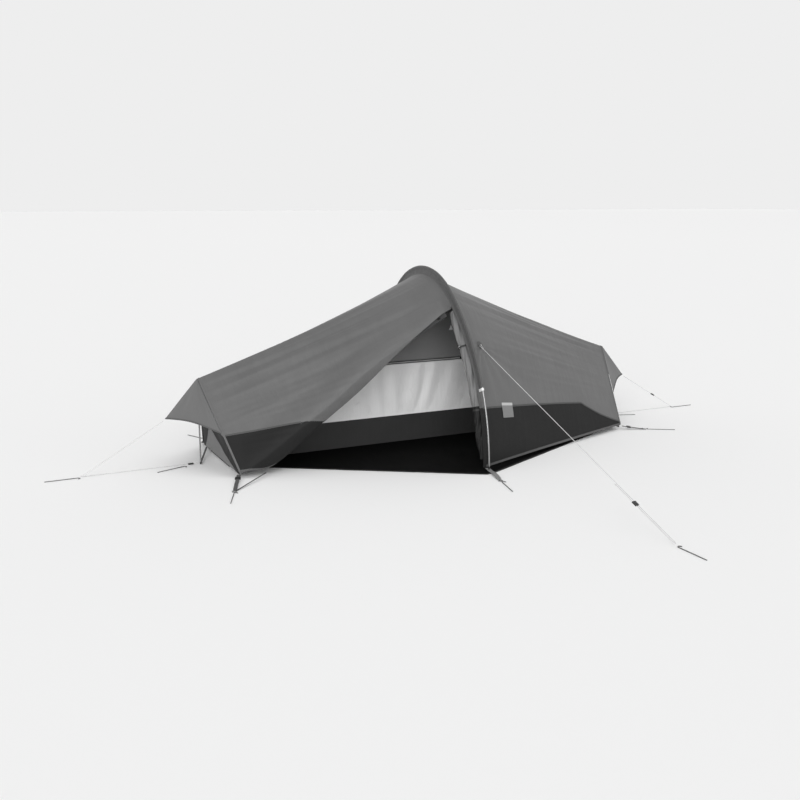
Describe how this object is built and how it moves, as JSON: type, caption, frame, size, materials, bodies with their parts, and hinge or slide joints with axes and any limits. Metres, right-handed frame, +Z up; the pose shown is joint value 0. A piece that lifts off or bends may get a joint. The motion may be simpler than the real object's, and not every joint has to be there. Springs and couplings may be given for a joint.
{
  "type": "tent",
  "caption": "Low one-person tent on a single bent pole: flysheet with open porch, inner tent, groundsheet, end struts, straps, pegs and guylines.",
  "frame": {"origin": "on the ground midway between the two end struts, straight below the hoop pole", "axes": "+X along the tent towards the end at the viewer's right when facing the door, +Y away from the door side, +Z up"},
  "size_m": [4.224, 3.353, 1.0201],
  "materials": {
    "pole_alloy": "satin anodised",
    "shock_cord": "braided elastic",
    "pole_tip_plastic": "matt",
    "sleeve_fabric": "dense ripstop weave",
    "clip_plastic": "matt",
    "fly_fabric": "coated ripstop, slight sheen",
    "skirt_fabric": "coated plain weave",
    "zip_coil": "coil zip on woven tape",
    "hardware_plastic": "moulded acetal",
    "guyline_cord": "pale braided cord",
    "webbing": "woven webbing",
    "ring_metal": "plated",
    "peg_alloy": "dull, dark",
    "groundsheet_fabric": "coated, matt",
    "tray_fabric": "coated, matt",
    "inner_fabric": "light breathable weave",
    "mesh_fabric": "fine insect mesh"
  },
  "bodies": {
    "tent": {"front_pole_top": "pole_alloy", "front_pole_upper": "pole_alloy", "front_pole_middle": "pole_alloy", "front_pole_foot": "pole_alloy", "back_pole_top": "pole_alloy", "back_pole_upper": "pole_alloy", "back_pole_middle": "pole_alloy", "back_pole_foot": "pole_alloy", "pole_ferrules": "pole_alloy", "pole_shock_cord": "shock_cord", "pole_tips": "pole_tip_plastic", "left_strut": "pole_alloy", "right_strut": "pole_alloy", "pole_sleeve": "sleeve_fabric", "pole_clips": "clip_plastic", "fly_left_front": "fly_fabric", "fly_left_back": "fly_fabric", "fly_right_front": "fly_fabric", "fly_right_back": "fly_fabric", "skirt_left_front": "skirt_fabric", "skirt_left_back": "skirt_fabric", "skirt_right_front": "skirt_fabric", "skirt_right_back": "skirt_fabric", "left_end_panel": "fly_fabric", "right_end_panel": "fly_fabric", "left_hood": "fly_fabric", "right_hood": "fly_fabric", "door_edge_strip": "fly_fabric", "rolled_door": "fly_fabric", "door_zip": "zip_coil", "door_ties": "webbing", "guy_patch": "webbing", "front_guyline": "guyline_cord", "left_guyline": "guyline_cord", "right_guyline": "guyline_cord", "front_left_strap": "webbing", "front_right_strap": "webbing", "back_straps": "webbing", "foot_straps": "webbing", "peg_rings": "ring_metal", "pegs": "peg_alloy", "pole_eyelets": "ring_metal", "groundsheet": "groundsheet_fabric", "inner_floor": "tray_fabric", "inner_front_panel": "inner_fabric", "inner_mesh_panel": "mesh_fabric", "inner_back_wall": "inner_fabric", "inner_end_panels": "inner_fabric", "inner_zip": "zip_coil", "inner_hangers": "clip_plastic"},
    "door_zip_slider_body": {"door_zip_slider": "hardware_plastic"},
    "door_toggle_body": {"door_toggle": "hardware_plastic"},
    "front_guy_slider_body": {"front_guy_slider": "hardware_plastic"},
    "left_guy_slider_body": {"left_guy_slider": "hardware_plastic"},
    "right_guy_slider_body": {"right_guy_slider": "hardware_plastic"},
    "front_left_buckle_body": {"front_left_buckle": "hardware_plastic"},
    "front_right_buckle_body": {"front_right_buckle": "hardware_plastic"},
    "back_left_buckle_body": {"back_left_buckle": "hardware_plastic"},
    "back_right_buckle_body": {"back_right_buckle": "hardware_plastic"},
    "inner_zip_slider_body": {"inner_zip_slider": "hardware_plastic"}
  },
  "joints": [
    {"name": "door_zip_slider_slide", "type": "slide", "parent": "tent", "child": "door_zip_slider_body", "axis": [-0.8677, 0.0321, -0.4961], "range_m": [-0.03, 0.42]},
    {"name": "door_toggle_turn", "type": "hinge", "parent": "tent", "child": "door_toggle_body", "pos_m": [-0.037, -0.51561, 0.61455], "axis": [1, 0, 0], "range_deg": [-40, 40]},
    {"name": "front_guy_slider_slide", "type": "slide", "parent": "tent", "child": "front_guy_slider_body", "axis": [0, -0.9335, -0.3587], "range_m": [-0.1, 0.18]},
    {"name": "left_guy_slider_slide", "type": "slide", "parent": "tent", "child": "left_guy_slider_body", "axis": [-1, 0, 0], "range_m": [0, 0.4]},
    {"name": "right_guy_slider_slide", "type": "slide", "parent": "tent", "child": "right_guy_slider_body", "axis": [0.8651, 0, -0.5016], "range_m": [-0.2, 0.12]},
    {"name": "front_left_buckle_slide", "type": "slide", "parent": "tent", "child": "front_left_buckle_body", "axis": [-0.376, -0.9225, -0.0874], "range_m": [-0.02, 0.13]},
    {"name": "front_right_buckle_slide", "type": "slide", "parent": "tent", "child": "front_right_buckle_body", "axis": [0.8881, -0.4369, -0.1432], "range_m": [-0.015, 0.06]},
    {"name": "back_left_buckle_slide", "type": "slide", "parent": "tent", "child": "back_left_buckle_body", "axis": [0.4387, 0.8899, -0.1253], "range_m": [-0.02, 0.07]},
    {"name": "back_right_buckle_slide", "type": "slide", "parent": "tent", "child": "back_right_buckle_body", "axis": [-0.4387, 0.8899, -0.1253], "range_m": [-0.02, 0.07]},
    {"name": "inner_zip_slider_slide", "type": "slide", "parent": "tent", "child": "inner_zip_slider_body", "axis": [1, 0, 0], "range_m": [-0.8, 0.33]}
  ]
}
